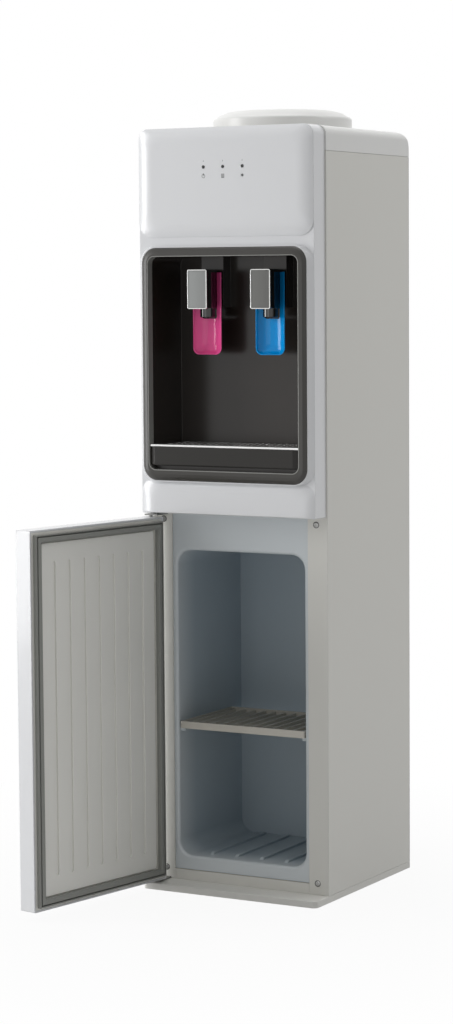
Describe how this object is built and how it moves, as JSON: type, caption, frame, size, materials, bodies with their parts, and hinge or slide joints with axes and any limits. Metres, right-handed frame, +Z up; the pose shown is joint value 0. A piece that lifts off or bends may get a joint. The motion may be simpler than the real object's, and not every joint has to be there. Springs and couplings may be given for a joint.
{
  "type": "water cooler",
  "caption": "Free-standing top-loading water cooler with hot and cold paddle taps, a drip tray, a rear condenser and a hinged door on a small refrigerator below.",
  "frame": {"origin": "on the floor under the middle of the cabinet's steel front face", "axes": "+X to the right for someone facing the front, +Y to the back, +Z up"},
  "size_m": [0.3163, 0.551, 1.0681],
  "materials": {
    "cabinet_white": "satin powder coat",
    "moulding_white": "semi-gloss moulded",
    "base_grey": "matte moulded",
    "bezel_grey": "fine satin",
    "alcove_black": "high gloss",
    "chrome": "bright plated",
    "tap_black": "gloss",
    "paddle_pink": "gloss",
    "paddle_blue": "gloss",
    "tray_grey": "satin",
    "light_lens": "clear lens",
    "liner_grey": "vacuum-formed sheet",
    "shelf_cream": "moulded",
    "door_inner": "vacuum-formed sheet",
    "gasket_grey": "soft extruded",
    "bright_steel": "zinc plated",
    "foam": "rigid foam",
    "galvanised": "galvanised sheet",
    "black_enamel": "black enamel",
    "copper": "drawn tube",
    "stainless": "drawn",
    "silicone": "translucent hose",
    "board_green": "solder mask",
    "switch_black": "matte",
    "switch_red": "gloss",
    "switch_green": "gloss"
  },
  "bodies": {
    "cabinet": {"base_plinth": "base_grey", "side_panel_left": "cabinet_white", "side_panel_right": "cabinet_white", "back_panel": "galvanised", "top_cover": "moulding_white", "head_panel": "moulding_white", "front_frame": "moulding_white", "bezel": "bezel_grey", "alcove_liner": "alcove_black", "led_lenses": "light_lens", "led_board": "board_green", "hot_tap_body": "tap_black", "cold_tap_body": "tap_black", "hot_tap_cover": "chrome", "cold_tap_cover": "chrome", "hot_tap_spring": "bright_steel", "cold_tap_spring": "bright_steel", "tap_pins": "bright_steel", "tap_nuts": "tap_black", "fridge_liner": "liner_grey", "fridge_insulation": "foam", "front_rails": "cabinet_white", "hinge_plates": "bright_steel", "flange_screws": "bright_steel", "machine_decks": "galvanised", "compressor": "black_enamel", "compressor_grommets": "gasket_grey", "hot_tank": "stainless", "heater_band": "bright_steel", "thermostats": "tap_black", "hot_tank_insulation": "foam", "cold_tank": "stainless", "evaporator_coil": "copper", "cold_tank_insulation": "foam", "tank_baffle": "base_grey", "tank_feed_hose": "silicone", "cold_tap_hose": "silicone", "hot_tap_hose": "silicone", "refrigerant_pipes": "copper", "wiring_board": "board_green", "condenser_coil": "black_enamel", "condenser_wires": "black_enamel", "switch_plate": "switch_black", "drain_outlet": "silicone", "cord_gland": "switch_black"},
    "door": {"door_shell": "moulding_white", "door_inner_panel": "door_inner", "door_gasket": "gasket_grey"},
    "shelf": {"fridge_shelf": "shelf_cream"},
    "tray": {"drip_tray": "tray_grey"},
    "grate": {"drip_grate": "chrome"},
    "seat": {"bottle_seat": "moulding_white", "feed_spike": "moulding_white"},
    "hot_paddle": {"hot_paddle": "paddle_pink"},
    "cold_paddle": {"cold_paddle": "paddle_blue"},
    "hot_valve": {"hot_tap_plunger": "silicone"},
    "cold_valve": {"cold_tap_plunger": "silicone"},
    "hot_switch": {"hot_switch": "switch_red"},
    "cold_switch": {"cold_switch": "switch_green"},
    "drain_cap": {"drain_cap": "tap_black"}
  },
  "joints": [
    {"name": "door_hinge", "type": "hinge", "parent": "cabinet", "child": "door", "pos_m": [-0.12523, -0.02259, 0.264], "axis": [0, 0, -1], "range_deg": [-100, 25]},
    {"name": "hot_paddle_hinge", "type": "hinge", "parent": "cabinet", "child": "hot_paddle", "pos_m": [-0.0485, 0.0125, 0.84], "axis": [1, 0, 0], "range_deg": [0, 9], "stiffness_Nm_per_rad": 0.8},
    {"name": "cold_paddle_hinge", "type": "hinge", "parent": "cabinet", "child": "cold_paddle", "pos_m": [0.0485, 0.0125, 0.84], "axis": [1, 0, 0], "range_deg": [0, 9], "stiffness_Nm_per_rad": 0.8},
    {"name": "hot_valve_slide", "type": "slide", "parent": "cabinet", "child": "hot_valve", "axis": [0, 0, -1], "range_m": [0, 0.002], "deforming": ["hot_tap_spring"]},
    {"name": "cold_valve_slide", "type": "slide", "parent": "cabinet", "child": "cold_valve", "axis": [0, 0, -1], "range_m": [0, 0.002], "deforming": ["cold_tap_spring"]},
    {"name": "tray_slide", "type": "slide", "parent": "cabinet", "child": "tray", "axis": [0, -1, 0], "range_m": [0, 0.08]},
    {"name": "grate_lift", "type": "slide", "parent": "tray", "child": "grate", "axis": [0, 0, 1], "range_m": [0, 0.1]},
    {"name": "shelf_slide", "type": "slide", "parent": "cabinet", "child": "shelf", "axis": [0, -1, 0], "range_m": [0, 0.15]},
    {"name": "seat_lift", "type": "slide", "parent": "cabinet", "child": "seat", "axis": [0, 0, 1], "range_m": [0, 0.06]},
    {"name": "hot_switch_rock", "type": "hinge", "parent": "cabinet", "child": "hot_switch", "pos_m": [-0.106, 0.2495, 0.916], "axis": [1, 0, 0], "range_deg": [-14, 0]},
    {"name": "cold_switch_rock", "type": "hinge", "parent": "cabinet", "child": "cold_switch", "pos_m": [-0.106, 0.2495, 0.884], "axis": [1, 0, 0], "range_deg": [-14, 0]},
    {"name": "drain_cap_pull", "type": "slide", "parent": "cabinet", "child": "drain_cap", "axis": [0, 1, 0], "range_m": [0, 0.02]}
  ],
  "couplings": [
    {"joint": "hot_valve_slide", "follows": "hot_paddle_hinge", "m_per_rad": 0.012732},
    {"joint": "cold_valve_slide", "follows": "cold_paddle_hinge", "m_per_rad": 0.012732}
  ]
}
